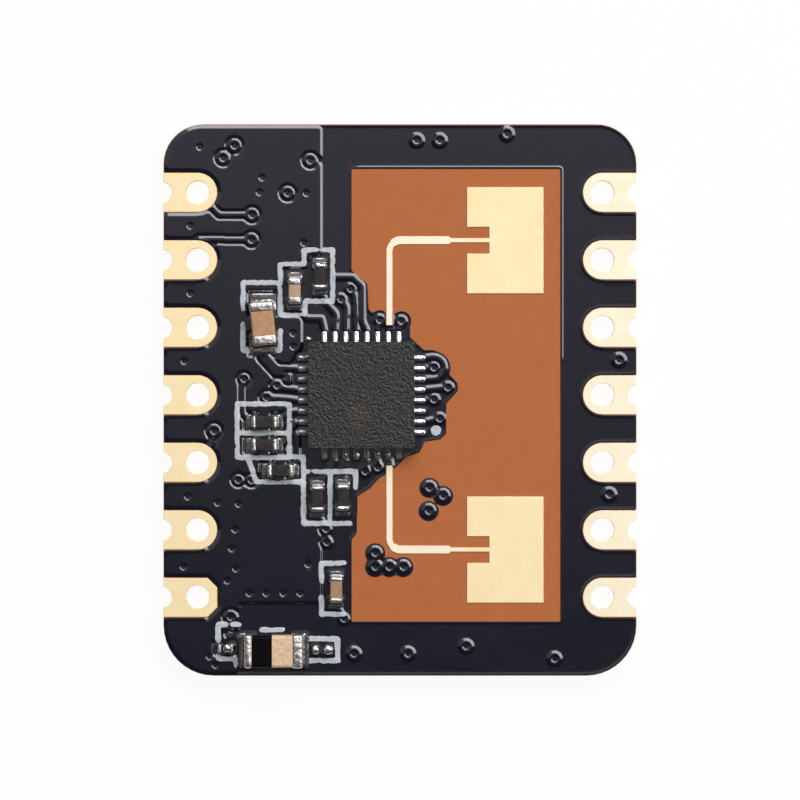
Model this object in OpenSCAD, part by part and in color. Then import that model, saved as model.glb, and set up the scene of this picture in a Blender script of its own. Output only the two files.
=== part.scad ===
// Millimetre wave radar sensor module: a castellated board with two patch antennas.
// Frame: +Z up from the component side, +Y towards the transmit antenna, origin under the board's centre.

/* [Board] */
// Width across the two rows of edge pads
board_w = 17.8; // [17.4:0.1:19]
// Length along the rows of edge pads
board_l = 20.75; // [20.6:0.05:23]
// Thickness between the outer copper faces
board_t = 1.0; // [0.8:0.05:1.6]
// Radius of the two corners at the transmit end
corner_r_top = 1.5; // [0.6:0.1:1.8]
// Radius of the two corners at the supply end
corner_r_bottom = 1.9; // [0.6:0.1:2]
// Thickness of each copper layer
copper_t = 0.035; // [0.025:0.005:0.05]
// Thickness of the laminate between the antennas and the ground plane
antenna_laminate_t = 0.25; // [0.2:0.01:0.4]
// Distance from the board's edge to the ground plane
plane_inset = 0.3; // [0.2:0.05:0.6]

/* [Solder mask] */
// Thickness of the mask, over laminate and over copper alike
mask_t = 0.02; // [0.015:0.001:0.025]
// Distance from the board's edge to the mask
mask_inset = 0.04; // [0.035:0.005:0.15]
// Room between a bare land and the mask
mask_gap = 0.04; // [0.035:0.005:0.06]
// How far the mask's step stands off the copper below it
mask_wrap = 0.03; // [0.02:0.005:0.04]
// Left edge of the bare antenna window
window_left = -1.84; // [-2.1:0.02:-1.7]
// Right edge of the bare antenna window
window_right = 6.06; // [5.6:0.02:6.5]
// Distance from the antennas' middle to the window's two ends
window_half_l = 8.54; // [8.2:0.02:9]

/* [Silkscreen] */
// Width of the printed lines
silk_w = 0.21; // [0.15:0.01:0.24]
// Thickness of the print
silk_t = 0.015; // [0.01:0.005:0.03]
// Diameter of the pin-one dot
dot_d = 0.43; // [0.3:0.01:0.5]

/* [Edge pads] */
// Pads in each row
pad_count = 7; // [5:1:7]
// Distance between neighbouring pads
pad_pitch = 2.54; // [2.5:0.02:2.6]
// Distance between the two rows of pin holes
row_spacing = 15.24; // [15:0.02:15.5]
// Finished diameter of the pin holes
hole_d = 0.9; // [0.8:0.02:1]
// Width of a land
land_d = 1.47; // [1.3:0.01:1.6]
// Finished diameter of the half hole in the edge
notch_d = 0.8; // [0.6:0.02:0.9]
// Distance from the board's edge out to the half hole's centre
notch_out = 0.07; // [0:0.01:0.1]
// Thickness of the plating in the holes
plating_t = 0.03; // [0.02:0.005:0.04]
// Chamfer on the square land of the first pin
first_land_chamfer = 0.36; // [0.2:0.02:0.5]

/* [Antennas] */
// Height of the line that the pads, chip and antennas are symmetric about
axis_y = 0.19; // [0:0.01:0.3]
// Size of a patch along X
patch_w = 2.88; // [2.6:0.02:3.2]
// Size of a patch along Y
patch_l = 4.0; // [3.6:0.02:4.4]
// X of a patch's centre
patch_x = 3.96; // [3.9:0.02:4.2]
// Distance from the axis to a patch's centre
patch_offset = 5.82; // [5.5:0.02:6.1]
// Depth of the slot that the feed enters
inset_depth = 0.84; // [0.5:0.02:1.2]
// Width of that slot
inset_w = 1.0; // [0.6:0.02:1.4]
// Width of the feed inside the slot
feed_thin_w = 0.16; // [0.12:0.01:0.22]
// Width of the feed's matching stretch
feed_wide_w = 0.3; // [0.24:0.01:0.4]
// Width of the feed next to the chip
feed_stem_w = 0.23; // [0.16:0.01:0.24]
// Length of the thin stretch outside the patch
feed_thin_l = 0.68; // [0.4:0.02:1]
// X of the feed's stem
feed_x = -0.4; // [-0.42:0.01:-0.38]
// Radius of the feed's bend
feed_bend_r = 0.42; // [0.3:0.02:0.6]

/* [Radar chip] */
// Side of the square package
chip_size = 4.0; // [3.8:0.05:4.1]
// Height of the package
chip_h = 0.85; // [0.7:0.05:1]
// X of the package's centre
chip_x = -1.445; // [-1.5:0.005:-1.4]
// Leads on each side
pins_per_side = 8; // [8:1:8]
// Distance between neighbouring leads
pin_pitch = 0.4; // [0.38:0.01:0.41]
// Width of a lead
pin_w = 0.2; // [0.16:0.01:0.22]
// Length of a lead under the package
pin_l = 0.4; // [0.3:0.02:0.5]
// Height of a lead
pin_t = 0.2; // [0.15:0.01:0.25]
// How far a lead's land runs out past the package
pin_toe = 0.42; // [0.3:0.02:0.44]
// Side of the heat paddle
paddle_w = 2.6; // [2.2:0.05:2.8]
// Diameter of the shallow mark on the package's top
chip_mark_d = 0.9; // [0.6:0.05:1.2]

/* [Chip parts] */
// Length of the supply capacitor
supply_l = 1.66; // [1.5:0.02:1.8]
// Width of the supply capacitor
supply_w = 0.92; // [0.8:0.02:1]
// Height of the supply capacitor
supply_h = 0.85; // [0.6:0.05:0.95]
// Tilt of the supply capacitor from upright on the board
supply_tilt = 6; // [0:1:8]
// Length of the small chips
small_l = 1.0; // [0.9:0.02:1.06]
// Width of the small chips
small_w = 0.5; // [0.44:0.02:0.54]
// Height of the small chips
small_h = 0.5; // [0.35:0.02:0.55]
// Length of the trim chips
trim_l = 0.62; // [0.56:0.02:0.66]
// Width of the trim chips
trim_w = 0.32; // [0.28:0.02:0.34]
// Height of the trim chips
trim_h = 0.3; // [0.24:0.02:0.34]
// Length of the bulk capacitor
bulk_l = 2.2; // [1.9:0.02:2.3]
// Width of the bulk capacitor
bulk_w = 1.25; // [1.1:0.02:1.3]
// Height of the bulk capacitor
bulk_h = 1.1; // [0.8:0.05:1.3]
// Width of the black polarity band on the bulk capacitor
band_w = 0.62; // [0.4:0.02:0.8]
// Thickness of the band's print
band_t = 0.01; // [0.005:0.005:0.02]
// Thickness of the end caps
cap_t = 0.025; // [0.02:0.005:0.04]
// Length of the supply capacitor's end caps
supply_cap_l = 0.4; // [0.3:0.02:0.5]
// Length of the small chips' end caps
small_cap_l = 0.21; // [0.15:0.01:0.28]
// Length of the trim chips' end caps
trim_cap_l = 0.16; // [0.1:0.01:0.2]
// Length of the bulk capacitor's end caps
bulk_cap_l = 0.42; // [0.3:0.02:0.5]
// How far the lands of the bulk and small chips run out past their ends
land_toe = 0.2; // [0.12:0.02:0.24]
// How far the supply capacitor's lands run out past its ends
supply_toe = 0.26; // [0.16:0.02:0.3]
// How far the trim chips' lands run out past their ends
trim_toe = 0.08; // [0.06:0.01:0.1]

/* [Vias] */
// Drilled diameter of a via
via_d = 0.3; // [0.2:0.02:0.34]
// Diameter of the copper ring round a lone via
ring_d = 0.5; // [0.44:0.02:0.52]
// Diameter of the ring where a trace ends at a via
end_ring_d = 0.4; // [0.36:0.01:0.42]
// Diameter of the dimple that the mask leaves over a via
dimple_d = 0.2; // [0.12:0.02:0.26]
// Depth of that dimple
dimple_depth = 0.012; // [0.006:0.002:0.014]
// Room between the ground pour and other copper
pour_gap = 0.12; // [0.1:0.01:0.18]
// Width of the signal traces
trace_w = 0.16; // [0.12:0.01:0.2]
// Mask left round the vias that stand inside the window
via_island_d = 0.72; // [0.64:0.02:0.8]

/* [Hidden] */
hole_fn = 48;
drill_fn = 24;
via_fn = 12;
arc_steps = 10;
cut = 0.1;

laminate_bottom = copper_t;
laminate_top = board_t - copper_t;
plane_bottom = laminate_top - antenna_laminate_t - copper_t;
mask_low = laminate_top + mask_t;
mask_high = board_t + mask_t;
hole_r = hole_d / 2;
land_r = land_d / 2;
notch_r = notch_d / 2;
edge_x = board_w / 2;
edge_y = board_l / 2;
antipad = 0.25;

// A chip part is [x, y, turn, size], and its size is [length, width, height, toe of its lands, cap length].
supply_size = [supply_l, supply_w, supply_h, supply_toe, supply_cap_l];
small_size = [small_l, small_w, small_h, land_toe, small_cap_l];
trim_size = [trim_l, trim_w, trim_h, trim_toe, trim_cap_l];
bulk_size = [bulk_l, bulk_w, bulk_h, land_toe, bulk_cap_l];
supply_capacitor = [-5.15, 2.87, 90 + supply_tilt, supply_size];
filter_capacitors = [
    [-3.96, 4.1, 90, small_size],
    [-2.4, -7.13, 90, small_size]
];
bypass_chips = [
    [-3.01, 4.65, 90, small_size],
    [-5.1, -0.83, 0, small_size],
    [-5.1, -1.7, 0, small_size],
    [-4.5, -2.66, 0, small_size],
    [-3.11, -3.71, 90, small_size],
    [-2.15, -3.67, 90, small_size]
];
trim_chips = [
    [-2.9, -9.4, 0, trim_size],
    [-6.56, -9.34, 0, trim_size]
];
bulk_capacitor = [-4.74, -9.43, 0, bulk_size];
chip_parts = concat([supply_capacitor], filter_capacitors, bypass_chips, trim_chips, [bulk_capacitor]);
test_lands = [[-6.4, -8.8], [-6.03, -8.94]];
test_land_d = 0.26;

// Signal vias by where they lead, then the vias that stitch the pour to the ground plane.
pad_vias = [[-5.57, 6.96], [-5.59, 6.03], [-7.0, -1.17], [-6.37, -8.17]];
corner_vias = [[-6.23, 9.57], [-6.66, 9.1], [-3.38, 9.01], [-4.23, 7.78]];
left_vias = [[-5.87, 0.79], [-4.63, 0.54], [-5.03, 0.09], [-6.09, -3.02], [-5.59, -3.03]];
top_vias = [[-2.22, 3.79], [-1.86, 4.18], [-0.76, 3.01], [0.05, 2.97]];
right_vias = [[1.28, 1.22], [1.81, 0.47], [1.28, 0.02], [1.5, -0.7]];
bottom_vias = [[-1.31, -2.69], [-0.84, -2.54], [-2.79, -4.86], [-2.75, -5.36], [-2.11, -8.24]];
margin_vias = [
    [0.63, 9.77], [1.49, 9.77], [4.02, 10.01], [8.24, 1.5], [7.87, -3.56],
    [-1.73, -9.55], [0.3, -9.55], [2.49, -9.27], [5.82, -9.74]
];
island_vias = [
    [1.11, -3.3], [1.62, -3.6], [1.08, -4.17],
    [-0.93, -5.76], [-0.93, -6.28], [-0.4, -6.28], [0.13, -6.28]
];
lone_vias = concat(pad_vias, corner_vias, margin_vias, island_vias);
end_vias = concat(left_vias, top_vias, right_vias, bottom_vias);
signal_vias = concat(lone_vias, end_vias);
stitch_vias = [
    [-7.54, 9.52], [-5.19, 8.36], [-5.29, 7.81], [-3.52, 7.78], [-7.9, 6.55], [-3.62, 5.91],
    [-7.9, 4.01], [-8.12, 1.46], [-7.99, -3.64], [-6.86, -3.87], [-6.08, -3.91], [-6.21, -4.88],
    [-6.33, -5.6], [-6.18, -6.35], [-8.15, -6.28], [-6.5, -6.8], [-5.67, -7.27], [-5.04, -7.27],
    [-4.4, -7.27], [-3.75, -7.27], [-3.46, -6.18], [-7.17, -9.66], [-6.95, -9.98],
    [-4.02, 2.51], [-4.02, 2.01]
];

// Points of a round corner, from one angle to another.
function arc(c, r, a0, a1, steps = arc_steps) =
    [for (i = [0 : steps]) c + r * [cos(a0 + (a1 - a0) * i / steps), sin(a0 + (a1 - a0) * i / steps)]];
function unit(v) = v / norm(v);
function left_of(v) = [-v[1], v[0]];
function turned(p, a) = [p[0] * cos(a) - p[1] * sin(a), p[0] * sin(a) + p[1] * cos(a)];

// Mitred edge of a line at its point i, half its width to the left.
function mitre(p, i, h) =
    let (
        last = len(p) - 1,
        a = max(i, 1),
        b = min(i + 1, last),
        before = left_of(unit(p[a] - p[a - 1])),
        after = left_of(unit(p[b] - p[b - 1])),
        n = unit(before + after)
    )
    p[i] + n * h / (n * before);

// Outline of a line of even width along points.
function ribbon(p, w) = concat(
    [for (i = [0 : len(p) - 1]) mitre(p, i, w / 2)],
    [for (i = [len(p) - 1 : -1 : 0]) mitre(p, i, -w / 2)]
);

// Where things are: pad rows, lead lands and the lands of a chip part.
function pad_y(i) = axis_y + pad_pitch * ((pad_count + 1) / 2 - i);
function pad_at(side, i) = [side * row_spacing / 2, pad_y(i)];
function pin_run(k) = (k - (pins_per_side + 1) / 2) * pin_pitch;
function pin_tip() = chip_size / 2 + pin_toe;
function top_pin(k) = [chip_x + pin_run(k), axis_y + pin_tip()];
function bottom_pin(k) = [chip_x + pin_run(k), axis_y - pin_tip()];
function left_pin(k) = [chip_x - pin_tip(), axis_y - pin_run(k)];
function right_pin(k) = [chip_x + pin_tip(), axis_y - pin_run(k)];
function place(part) = [part[0], part[1]];
function cap_l(size) = size[4];
function land_l(size) = cap_l(size) + size[3];
function land_mid(size) = size[0] / 2 + size[3] - land_l(size) / 2;
function land_at(part, end) = place(part) + turned([end * land_mid(part[3]), 0], land_turn(part));

// Lands lie square to the board, also under a part that sits askew on them.
function land_turn(part) = 90 * round(part[2] / 90);
function skew(part) = abs(sin(part[2] - land_turn(part)));

// Routed lines, each a list of points from land, lead or via to the next.
pad_lines = [
    [pad_at(-1, 1), pad_at(-1, 1) + [0.81, -0.84], pad_vias[0]],
    [pad_at(-1, 2) + [0, 0.77], pad_vias[1]],
    [pad_at(-1, 5), pad_at(-1, 5) + [0.55, 0.7], pad_vias[2]],
    [pad_vias[3], test_lands[0]]
];
left_lines = [
    [[-4.6, 1.2], left_pin(2)],
    [left_vias[1], [-4.3, 0.42], left_pin(4)],
    [left_vias[2], left_pin(5) + [-0.4, 0.05], left_pin(5)],
    [left_vias[0], [-5.92, 0.5], [-5.92, -0.5], land_at(bypass_chips[1], -1)],
    [left_pin(6), [-4.2, -0.5], land_at(bypass_chips[1], 1)],
    [left_pin(7), [-4.1, -1.1], [-4.25, -1.6], land_at(bypass_chips[2], 1)],
    [left_pin(8), [-3.85, -2.3], land_at(bypass_chips[3], 1)]
];
top_lines = [
    [land_at(filter_capacitors[0], -1), [-3.5, 3.06], [-2.95, 3.06], top_pin(1)],
    [land_at(bypass_chips[0], -1), [-2.75, 3.6], [-2.42, 3.25], top_pin(2)],
    [top_vias[0], [-2.02, 3.5], top_pin(3)],
    [top_vias[1], [-1.7, 3.9], top_pin(4)],
    [[-2.5, 4.62], [-1.78, 4.62], [-1.42, 4.28], [-1.42, 2.96], top_pin(5)],
    [top_vias[2], top_pin(6)],
    [top_vias[3], top_pin(8)]
];
loop_r = 0.42;
loop_at = right_vias[0] + [-0.02, -0.01];
right_lines = [
    concat([right_pin(1)], arc(loop_at, loop_r, 90, -90), [right_pin(3)]),
    [right_pin(2), right_vias[0]],
    [right_pin(4), right_vias[1]],
    [right_pin(5), right_vias[2]],
    [right_pin(7), right_vias[3]]
];
bottom_lines = [
    [bottom_pin(5), bottom_vias[0]],
    [bottom_pin(6), bottom_vias[1]],
    [bottom_pin(2), [-2.6, -2.7], land_at(bypass_chips[4], 1)],
    [bottom_pin(3), [-2.1, -2.6], land_at(bypass_chips[5], 1)],
    [land_at(bypass_chips[4], -1), bottom_vias[2], bottom_vias[3]],
    [land_at(filter_capacitors[1], -1), bottom_vias[4]]
];
supply_line = [land_at(supply_capacitor, -1), [-5.14, 1.62], [-4.66, 1.1], [-4.36, 1.1]];
supply_line_w = 0.38;
lines = concat(pad_lines, left_lines, top_lines, right_lines, bottom_lines);

// Edge of the ground pour, and of the mask that reaches into the window round the chip.
pour_inset = 0.12;
pour_edge = [
    [-edge_x, edge_y], [-2.98, edge_y], [-2.98, 5.3], [-3.55, 5.3], [-3.55, 5.0], [-4.45, 5.0],
    [-4.45, 3.1], [-3.72, 3.1], [-3.72, 1.95], [-4.1, 1.5], [-4.1, -3.05], [-3.68, -3.05], [-3.68, -4.62],
    [-2.98, -4.62], [-2.98, -7.61], [-6.05, -7.61], [-6.05, -edge_y], [-edge_x, -edge_y]
];
island_edge = [
    [window_left - 1, 4.87], [window_left, 4.87], [-1.24, 4.36], [-1.2, 3.42], [-1.0, 3.2], [0.36, 3.0],
    [0.36, 2.36], [0.9, 1.86], [1.28, 1.86], [1.76, 1.36], [1.76, 1.04], [2.16, 0.62], [2.16, 0.36],
    [1.72, -0.12], [1.72, -1.24], [1.52, -1.45], [0.92, -1.54], [0.72, -1.95], [0.2, -2.14],
    [-0.2, -2.54], [-0.58, -2.68], [-1.14, -3.3], [-1.62, -3.6], [-1.64, -4.98], [window_left, -5.24],
    [window_left - 1, -5.24]
];
feed_end = 2.62;
mask_bulges = concat([top_vias[2], top_vias[3], right_vias[0], bottom_vias[1]], island_vias);

// Printed frames, each a list of points.
frames = [
    [[-5.9, 3.43], [-5.9, 4.41], [-4.55, 4.41]],
    [[-5.9, 2.87], [-5.9, 1.86], [-4.52, 1.86], [-4.5, 2.6]],
    [
        [-3.57, 3.2], [-4.5, 3.2], [-4.5, 5.12], [-3.6, 5.12],
        [-3.6, 5.65], [-2.52, 5.65], [-2.52, 3.72], [-3.55, 3.72]
    ],
    [[-3.57, 3.65], [-3.57, 3.2]],
    [[-6.13, -0.14], [-4.17, -0.14], [-4.17, -2.14], [-3.62, -2.14], [-3.62, -3.06]],
    [[-6.13, -0.14], [-6.13, -2.16], [-4.2, -2.16]],
    [[-6.0, -1.24], [-4.2, -1.24]],
    [[-5.7, -2.2], [-5.42, -3.08], [-3.7, -3.08]],
    [[-3.62, -3.06], [-3.62, -4.64], [-1.85, -4.64]],
    [[-3.6, -2.68], [-1.66, -2.68], [-1.66, -3.3]],
    [[-2.63, -2.7], [-2.63, -4.6]],
    [[-2.95, -6.86], [-2.95, -6.14], [-2.1, -6.14]],
    [[-2.95, -7.42], [-2.95, -8.06], [-2.1, -8.06]],
    [[-6.55, -8.45], [-6.84, -8.45], [-6.84, -9.05]],
    [[-6.84, -9.28], [-6.84, -9.74], [-6.18, -9.74], [-6.18, -10.0]],
    [[-6.3, -8.45], [-6.05, -8.45]],
    [[-5.2, -8.65], [-4.4, -8.65]],
    [[-3.46, -8.99], [-2.34, -8.99], [-2.34, -9.81], [-3.46, -9.81]]
];
dot_at = [1.34, -1.14];

BASE_NODES = [
    "base_laminate", "ground_plane", "antenna_laminate", "ground_pour", "signal_traces", "component_lands",
    "filled_vias", "transmit_antenna", "receive_antenna", "solder_mask_top", "solder_mask_bottom",
    "silkscreen_marks", "radar_chip_body", "radar_chip_leads", "radar_chip_paddle", "radar_chip_solder",
    "supply_capacitor_body", "supply_capacitor_caps", "bulk_capacitor_body", "bulk_capacitor_caps",
    "bulk_capacitor_band", "solder_joints"
];
function numbered(name, count, tail = "") = [for (i = [1 : count]) str(name, "_", i, tail)];

// One clean outline from overlapping flat shapes.
module merged() {
    offset(delta = 0) children();
}

module layer(z, t) {
    translate([0, 0, z]) linear_extrude(t) children();
}

module at_points(points) {
    for (p = points) translate(p) children();
}

module at_pads() {
    for (side = [-1, 1], i = [1 : pad_count]) translate(pad_at(side, i)) children();
}

module at_notches() {
    for (side = [-1, 1], i = [1 : pad_count]) translate([side * (edge_x + notch_out), pad_y(i)]) children();
}

module put(part) {
    translate([part[0], part[1], board_t]) rotate(part[2]) children();
}

module put_flat(part) {
    translate(place(part)) rotate(land_turn(part)) children();
}

// Each lead in its own frame: its middle on the package's edge, +X outwards.
module at_pins() {
    translate([chip_x, axis_y])
        for (side = [0 : 3], k = [1 : pins_per_side])
            rotate(90 * side) translate([chip_size / 2, pin_run(k)]) children();
}

module board_outline() {
    polygon(concat(
        arc([edge_x - corner_r_top, edge_y - corner_r_top], corner_r_top, 0, 90),
        arc([-edge_x + corner_r_top, edge_y - corner_r_top], corner_r_top, 90, 180),
        arc([-edge_x + corner_r_bottom, -edge_y + corner_r_bottom], corner_r_bottom, 180, 270),
        arc([edge_x - corner_r_bottom, -edge_y + corner_r_bottom], corner_r_bottom, 270, 360)
    ));
}

// Land of one edge pad: a round end about the hole, run out to the board's edge.
// The first pin's land, last in the left row, has a square end with chamfers.
module edge_land(side, i) {
    run = edge_x - row_spacing / 2;
    square_end = side < 0 && i == pad_count;
    straight = land_r - first_land_chamfer;
    inner = square_end
        ? [[straight, land_r], [land_r, straight], [land_r, -straight], [straight, -land_r]]
        : arc([0, 0], land_r, 90, -90, 2 * arc_steps);
    translate(pad_at(side, i))
        scale([-side, 1])
            polygon(concat([[-run, land_r]], inner, [[-run, -land_r]]));
}

module edge_lands() {
    for (side = [-1, 1], i = [1 : pad_count]) edge_land(side, i);
}

module chip_part_lands() {
    for (part = chip_parts)
        put_flat(part)
            for (end = [-1, 1])
                translate([end * land_mid(part[3]), 0])
                    square([land_l(part[3]) + part[3][1] * skew(part), part[3][1] + 2 * cap_t], center = true);
    at_points(test_lands) circle(d = test_land_d, $fn = via_fn);
}

module pin_lands() {
    at_pins() translate([-pin_l, -pin_w / 2]) square([pin_l + pin_toe, pin_w]);
}

module paddle_land() {
    translate([chip_x, axis_y]) square(paddle_w, center = true);
}

module routed_lines() {
    for (p = lines) polygon(ribbon(p, trace_w));
    polygon(ribbon(supply_line, supply_line_w));
    at_points(lone_vias) circle(d = ring_d, $fn = via_fn);
    at_points(end_vias) circle(d = end_ring_d, $fn = via_fn);
}

// Patch and feed of one antenna, drawn for the upper one with the axis at y = 0.
module antenna_outline() {
    slot_x = patch_x - patch_w / 2 + inset_depth;
    thin_x = patch_x - patch_w / 2 - feed_thin_l;
    taper = (feed_wide_w - feed_thin_w) / 2;
    bend = [feed_x + feed_bend_r, patch_offset - feed_bend_r];
    difference() {
        translate([patch_x - patch_w / 2, patch_offset - patch_l / 2]) square([patch_w, patch_l]);
        translate([patch_x - patch_w / 2 - cut, patch_offset - inset_w / 2])
            square([inset_depth + cut, inset_w]);
    }
    translate([thin_x, patch_offset - feed_thin_w / 2]) square([slot_x - thin_x + cut, feed_thin_w]);
    polygon(concat(
        [[thin_x + taper, patch_offset + feed_thin_w / 2], [thin_x, patch_offset + feed_wide_w / 2]],
        arc(bend, feed_bend_r + feed_wide_w / 2, 90, 135, arc_steps / 2),
        arc(bend, feed_bend_r + feed_stem_w / 2, 135, 180, arc_steps / 2),
        [[feed_x - feed_stem_w / 2, pin_tip()], [feed_x + feed_stem_w / 2, pin_tip()]],
        arc(bend, feed_bend_r - feed_stem_w / 2, 180, 135, arc_steps / 2),
        arc(bend, feed_bend_r - feed_wide_w / 2, 135, 90, arc_steps / 2),
        [[thin_x, patch_offset - feed_wide_w / 2], [thin_x + taper, patch_offset - feed_thin_w / 2]]
    ));
}

module antenna(end) {
    translate([0, axis_y]) scale([1, end]) antenna_outline();
}

module pour_shape() {
    offset(r = mask_wrap, $fn = via_fn) offset(delta = -mask_wrap) difference() {
        intersection() {
            polygon(pour_edge);
            offset(delta = -pour_inset) board_outline();
        }
        offset(delta = pour_gap) routed_lines();
        offset(delta = pour_gap) edge_lands();
        offset(delta = pour_gap) chip_part_lands();
        offset(delta = pour_gap) pin_lands();
    }
}

module trace_shape() {
    merged() difference() {
        routed_lines();
        edge_lands();
        chip_part_lands();
        pin_lands();
    }
}

// The bare window, less the mask that covers the chip's side of it.
module window_opening() {
    difference() {
        translate([window_left, axis_y - window_half_l])
            square([window_right - window_left, 2 * window_half_l]);
        polygon(island_edge);
        at_points(mask_bulges) circle(d = via_island_d, $fn = 2 * via_fn);
        offset(delta = pour_gap) for (p = right_lines) polygon(ribbon(p, trace_w));
    }
}

// The mask keeps a gap to the gold lands and runs right up to the soldered ones.
module mask_area() {
    merged() difference() {
        offset(delta = -mask_inset) board_outline();
        window_opening();
        offset(delta = mask_gap) edge_lands();
        chip_part_lands();
        pin_lands();
        paddle_land();
        for (end = [-1, 1]) feed_entry(end);
    }
}

// The mask stops at the end of each bare feed.
module feed_entry(end) {
    gap = feed_stem_w / 2 + mask_gap;
    translate([feed_x - gap, axis_y + (end > 0 ? feed_end : -feed_end - 1)]) square([2 * gap, 1]);
}

module raised_mask() {
    merged() intersection() {
        mask_area();
        union() {
            offset(delta = mask_wrap) pour_shape();
            offset(delta = mask_wrap) trace_shape();
            for (end = [-1, 1]) offset(delta = mask_wrap) antenna(end);
        }
    }
}

// Drilled wall behind a pin hole's plating, many-sided so that the plated wall is the only true bore.
module drilled_outline() {
    offset(delta = plating_t) circle(r = hole_r, $fn = drill_fn);
}

module pin_holes() {
    layer(-cut, board_t + 2 * cut) at_pads() drilled_outline();
    at_notches() translate([0, 0, -cut])
        cylinder(r = notch_r + plating_t, h = board_t + 2 * cut, $fn = hole_fn);
}

module via_holes(d, points) {
    at_points(points) translate([0, 0, -cut]) cylinder(d = d, h = board_t + 2 * cut, $fn = via_fn);
}

module base_laminate() {
    color("#8f5a38") difference() {
        layer(laminate_bottom, plane_bottom - laminate_bottom) board_outline();
        pin_holes();
        via_holes(via_d, concat(signal_vias, stitch_vias));
    }
}

module plane_outline() {
    difference() {
        offset(delta = -plane_inset) board_outline();
        at_pads() circle(r = hole_r + plating_t + antipad, $fn = hole_fn);
        at_notches() circle(r = notch_r + plating_t + antipad, $fn = hole_fn);
        at_points(signal_vias) circle(d = via_d + antipad, $fn = via_fn);
    }
}

module ground_plane() {
    color("#c07a4a") difference() {
        layer(plane_bottom, copper_t) plane_outline();
        via_holes(via_d, stitch_vias);
    }
}

module antenna_laminate() {
    color("#b5673d") difference() {
        layer(plane_bottom, laminate_top - plane_bottom) board_outline();
        layer(plane_bottom - cut, copper_t + cut) plane_outline();
        pin_holes();
        via_holes(via_d, concat(signal_vias, stitch_vias));
    }
}

module ground_pour() {
    color("#c98a55") layer(laminate_top, copper_t) pour_shape();
}

module signal_traces() {
    color("#c98a55") layer(laminate_top, copper_t) trace_shape();
}

module component_lands() {
    color("#d8d8d6") layer(laminate_top, copper_t) merged() {
        chip_part_lands();
        pin_lands();
        paddle_land();
    }
}

module filled_vias() {
    color("#c98a55")
        at_points(concat(signal_vias, stitch_vias))
            translate([0, 0, laminate_bottom])
                cylinder(d = via_d, h = laminate_top - laminate_bottom, $fn = via_fn);
}

module transmit_antenna() {
    color("#ffebc3") layer(laminate_top, copper_t) antenna(1);
}

module receive_antenna() {
    color("#ffebc3") layer(laminate_top, copper_t) antenna(-1);
}

module solder_mask_top() {
    color("#25242b") difference() {
        union() {
            layer(laminate_top, mask_t) mask_area();
            layer(laminate_top, copper_t + mask_t) raised_mask();
        }
        layer(laminate_top - cut, copper_t + cut) merged() {
            pour_shape();
            routed_lines();
            for (end = [-1, 1]) antenna(end);
        }
        at_points(concat(signal_vias, stitch_vias))
            translate([0, 0, mask_high - dimple_depth]) cylinder(d = dimple_d, h = cut, $fn = via_fn);
    }
}

module solder_mask_bottom() {
    color("#25242b") layer(laminate_bottom - mask_t, mask_t) merged() difference() {
        offset(delta = -mask_inset) board_outline();
        offset(delta = mask_gap) edge_lands();
    }
}

module silk_outline() {
    for (p = frames) offset(r = silk_w / 2, $fn = via_fn) polygon(ribbon(p, cut / 10));
    translate(dot_at) circle(d = dot_d, $fn = 2 * via_fn);
}

module printed_area() {
    intersection() {
        silk_outline();
        mask_area();
    }
}

// The print fills the low parts of the mask and lies level over the raised ones.
module silkscreen_marks() {
    color("#c8ced4") {
        layer(mask_high, silk_t) merged() printed_area();
        layer(mask_low, mask_high - mask_low) merged() difference() {
            printed_area();
            raised_mask();
        }
    }
}

// Gold land on both faces, with the plated hole and the plated half hole.
module edge_pad(side, i) {
    shell = notch_r + plating_t;
    color("#ffdfa6") difference() {
        union() {
            for (z = [0, laminate_top]) layer(z, copper_t) edge_land(side, i);
            layer(0, board_t) translate(pad_at(side, i)) drilled_outline();
            intersection() {
                translate([side * (edge_x + notch_out), pad_y(i)])
                    cylinder(r = shell, h = board_t, $fn = hole_fn);
                translate([side > 0 ? edge_x - shell : -edge_x, pad_y(i) - shell, 0])
                    cube([shell, 2 * shell, board_t]);
            }
        }
        translate(pad_at(side, i)) translate([0, 0, -cut])
            cylinder(r = hole_r, h = board_t + 2 * cut, $fn = hole_fn);
        translate([side * (edge_x + notch_out), pad_y(i), -cut])
            cylinder(r = notch_r, h = board_t + 2 * cut, $fn = hole_fn);
    }
}

module chip_leads() {
    at_pins() translate([-pin_l, -pin_w / 2, 0]) cube([pin_l, pin_w, pin_t]);
}

module chip_paddle() {
    translate([chip_x - paddle_w / 2, axis_y - paddle_w / 2, 0]) cube([paddle_w, paddle_w, pin_t]);
}

module radar_chip_body() {
    mark_depth = 0.02;
    mark_at = [chip_x - 0.03, axis_y - 0.68];
    color("#3a3838") translate([0, 0, board_t]) difference() {
        translate([chip_x - chip_size / 2, axis_y - chip_size / 2, 0]) cube([chip_size, chip_size, chip_h]);
        chip_leads();
        chip_paddle();
        translate([mark_at[0], mark_at[1], chip_h - mark_depth])
            cylinder(d = chip_mark_d, h = cut, $fn = hole_fn);
    }
}

module radar_chip_leads() {
    color("#d8d8d6") translate([0, 0, board_t]) chip_leads();
}

module radar_chip_paddle() {
    color("#d8d8d6") translate([0, 0, board_t]) chip_paddle();
}

// Concave solder profile that climbs a wall, in the plane of its run and rise.
function meniscus(run, rise, steps = 5) = concat(
    [[0, 0]],
    [for (i = [0 : steps]) [run * (1 - sin(90 * i / steps)), rise * (1 - cos(90 * i / steps))]]
);

module solder_wedge(run, rise, w) {
    translate([0, w / 2, 0]) rotate([90, 0, 0]) linear_extrude(w) polygon(meniscus(run, rise));
}

module radar_chip_solder() {
    color("#e4e4e2") translate([0, 0, board_t]) at_pins() solder_wedge(pin_toe, pin_t, pin_w);
}

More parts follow.
